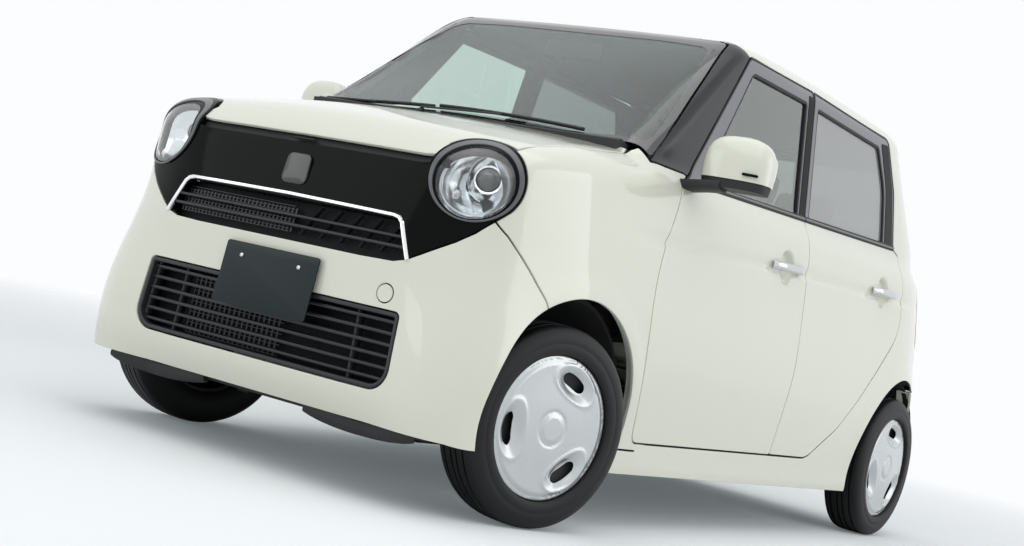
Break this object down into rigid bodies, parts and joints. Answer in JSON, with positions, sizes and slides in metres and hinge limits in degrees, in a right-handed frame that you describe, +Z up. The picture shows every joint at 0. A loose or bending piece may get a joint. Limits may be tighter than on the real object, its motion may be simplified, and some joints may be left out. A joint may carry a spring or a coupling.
{
  "type": "five-door kei car",
  "caption": "Small upright five-door passenger car with round headlamps, hinged doors, bonnet and tailgate, steered front wheels and free-rolling wheels.",
  "frame": {"origin": "on the ground at the centre of the car's bounding box", "axes": "+X to the car's left, +Y rearward, +Z up"},
  "size_m": [1.8424, 3.395, 1.6089],
  "materials": {
    "body_paint": "gloss ivory paint",
    "gloss_black": "gloss black moulding",
    "black_plastic": "grained black moulding",
    "underbody_steel": "sealed black underbody",
    "clear_glass": "green tinted glass",
    "privacy_glass": "grey tinted glass",
    "lamp_clear": "clear lamp lens over chrome",
    "lamp_red": "red lamp lens",
    "seat_fabric": "woven seat cloth",
    "dash_plastic": "soft grained interior moulding",
    "cast_metal": "cast engine block",
    "steel": "plain steel",
    "tyre": "black rubber",
    "wheel_cover": "silver painted cover"
  },
  "bodies": {
    "body": {"underbody": "underbody_steel", "body_side_left": "body_paint", "body_side_right": "body_paint", "roof": "body_paint", "front_fenders": "body_paint", "front_bumper": "body_paint", "rear_bumper": "body_paint", "nose_mask": "gloss_black", "grilles": "black_plastic", "headlamps": "lamp_clear", "tail_lamps": "lamp_red", "windscreen": "clear_glass", "cowl": "black_plastic", "wheel_liners": "black_plastic", "dashboard": "dash_plastic", "front_seats": "seat_fabric", "rear_seat": "seat_fabric", "engine": "cast_metal", "fuel_tank": "black_plastic", "exhaust": "steel", "rear_axle": "steel", "lower_arms": "steel"},
    "bonnet": {"bonnet": "body_paint"},
    "tailgate": {"tailgate": "body_paint", "tailgate_glass": "privacy_glass"},
    "front_door_left": {"front_door_left": "body_paint", "front_door_glass_left": "clear_glass", "door_mirror_left": "body_paint"},
    "rear_door_left": {"rear_door_left": "body_paint", "rear_door_glass_left": "privacy_glass"},
    "knuckle_left": {"knuckle_left": "steel"},
    "front_wheel_left": {"front_wheel_left": "wheel_cover", "front_tyre_left": "tyre"},
    "rear_wheel_left": {"rear_wheel_left": "wheel_cover", "rear_tyre_left": "tyre"},
    "front_door_right": {"front_door_right": "body_paint", "front_door_glass_right": "clear_glass", "door_mirror_right": "body_paint"},
    "rear_door_right": {"rear_door_right": "body_paint", "rear_door_glass_right": "privacy_glass"},
    "knuckle_right": {"knuckle_right": "steel"},
    "front_wheel_right": {"front_wheel_right": "wheel_cover", "front_tyre_right": "tyre"},
    "rear_wheel_right": {"rear_wheel_right": "wheel_cover", "rear_tyre_right": "tyre"},
    "steering_wheel": {"steering_wheel": "dash_plastic"}
  },
  "joints": [
    {"name": "bonnet_hinge", "type": "hinge", "parent": "body", "child": "bonnet", "pos_m": [0, -1.04, 1.1036], "axis": [-1, 0, 0], "range_deg": [0, 50]},
    {"name": "tailgate_hinge", "type": "hinge", "parent": "body", "child": "tailgate", "pos_m": [0, 1.50275, 1.5683], "axis": [1, 0, 0], "range_deg": [0, 80]},
    {"name": "front_door_hinge_left", "type": "hinge", "parent": "body", "child": "front_door_left", "pos_m": [0.7125, -0.87, 0.6], "axis": [0, 0, -1], "range_deg": [0, 65]},
    {"name": "rear_door_hinge_left", "type": "hinge", "parent": "body", "child": "rear_door_left", "pos_m": [0.7125, 0.19675, 0.6], "axis": [0, 0, -1], "range_deg": [0, 68]},
    {"name": "front_door_hinge_right", "type": "hinge", "parent": "body", "child": "front_door_right", "pos_m": [-0.7125, -0.87, 0.6], "axis": [0, 0, 1], "range_deg": [0, 65]},
    {"name": "rear_door_hinge_right", "type": "hinge", "parent": "body", "child": "rear_door_right", "pos_m": [-0.7125, 0.19675, 0.6], "axis": [0, 0, 1], "range_deg": [0, 68]},
    {"name": "steering_left", "type": "hinge", "parent": "body", "child": "knuckle_left", "pos_m": [0.605, -1.224, 0.18576], "axis": [-0.1915, 0, 0.9815], "range_deg": [-19, 50]},
    {"name": "front_wheel_spin_left", "type": "hinge", "parent": "knuckle_left", "child": "front_wheel_left", "pos_m": [0.65023, -1.24114, 0.27882], "axis": [0.9654, -0.2606, -0.0067], "continuous": true},
    {"name": "rear_wheel_spin_left", "type": "hinge", "parent": "body", "child": "rear_wheel_left", "pos_m": [0.6525, 1.296, 0.2785], "axis": [1, 0, 0], "continuous": true},
    {"name": "steering_right", "type": "hinge", "parent": "body", "child": "knuckle_right", "pos_m": [-0.605, -1.224, 0.18576], "axis": [0.1915, 0, 0.9815], "range_deg": [-19, 50]},
    {"name": "front_wheel_spin_right", "type": "hinge", "parent": "knuckle_right", "child": "front_wheel_right", "pos_m": [-0.65023, -1.20686, 0.27882], "axis": [0.9654, -0.2606, 0.0067], "continuous": true},
    {"name": "rear_wheel_spin_right", "type": "hinge", "parent": "body", "child": "rear_wheel_right", "pos_m": [-0.6525, 1.296, 0.2785], "axis": [1, 0, 0], "continuous": true},
    {"name": "steering_wheel_turn", "type": "hinge", "parent": "body", "child": "steering_wheel", "pos_m": [-0.34, -0.44, 0.95], "axis": [0, 0.8829, 0.4695], "range_deg": [-290, 755]}
  ],
  "couplings": [
    {"joint": "steering_right", "follows": "steering_left", "ratio": 1},
    {"joint": "steering_wheel_turn", "follows": "steering_left", "ratio": 15}
  ]
}
